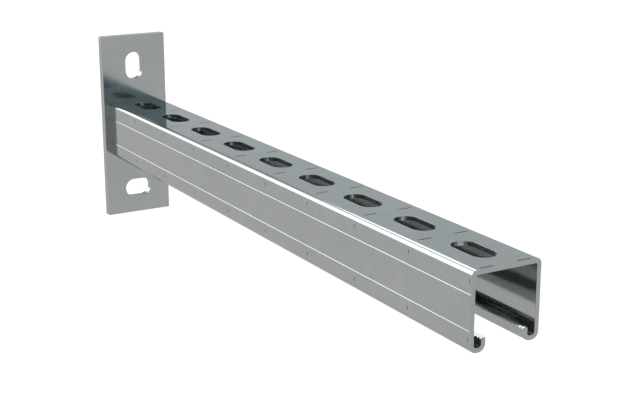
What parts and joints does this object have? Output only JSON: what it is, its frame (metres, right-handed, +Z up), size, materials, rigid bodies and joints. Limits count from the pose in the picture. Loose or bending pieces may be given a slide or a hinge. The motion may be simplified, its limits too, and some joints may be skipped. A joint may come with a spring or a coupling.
{
  "type": "cantilever strut arm",
  "caption": "Slotted C-channel arm welded square to an upright wall plate with two slots, a cantilever bracket for pipes, ducts and trays.",
  "frame": {"origin": "centre of the wall plate's back face, which lies against the wall", "axes": "+X out from the wall along the arm, +Z up towards the web with the slots, +Y to the left seen from the wall"},
  "size_m": [0.456, 0.05, 0.137],
  "materials": {
    "plate_steel": "zinc-coated, fine satin",
    "channel_steel": "zinc-coated, rolled, fine satin",
    "weld_metal": "weld metal under zinc"
  },
  "bodies": {
    "root": {"wall_plate": "plate_steel", "strut_channel": "channel_steel", "weld_bead": "weld_metal"}
  },
  "joints": []
}
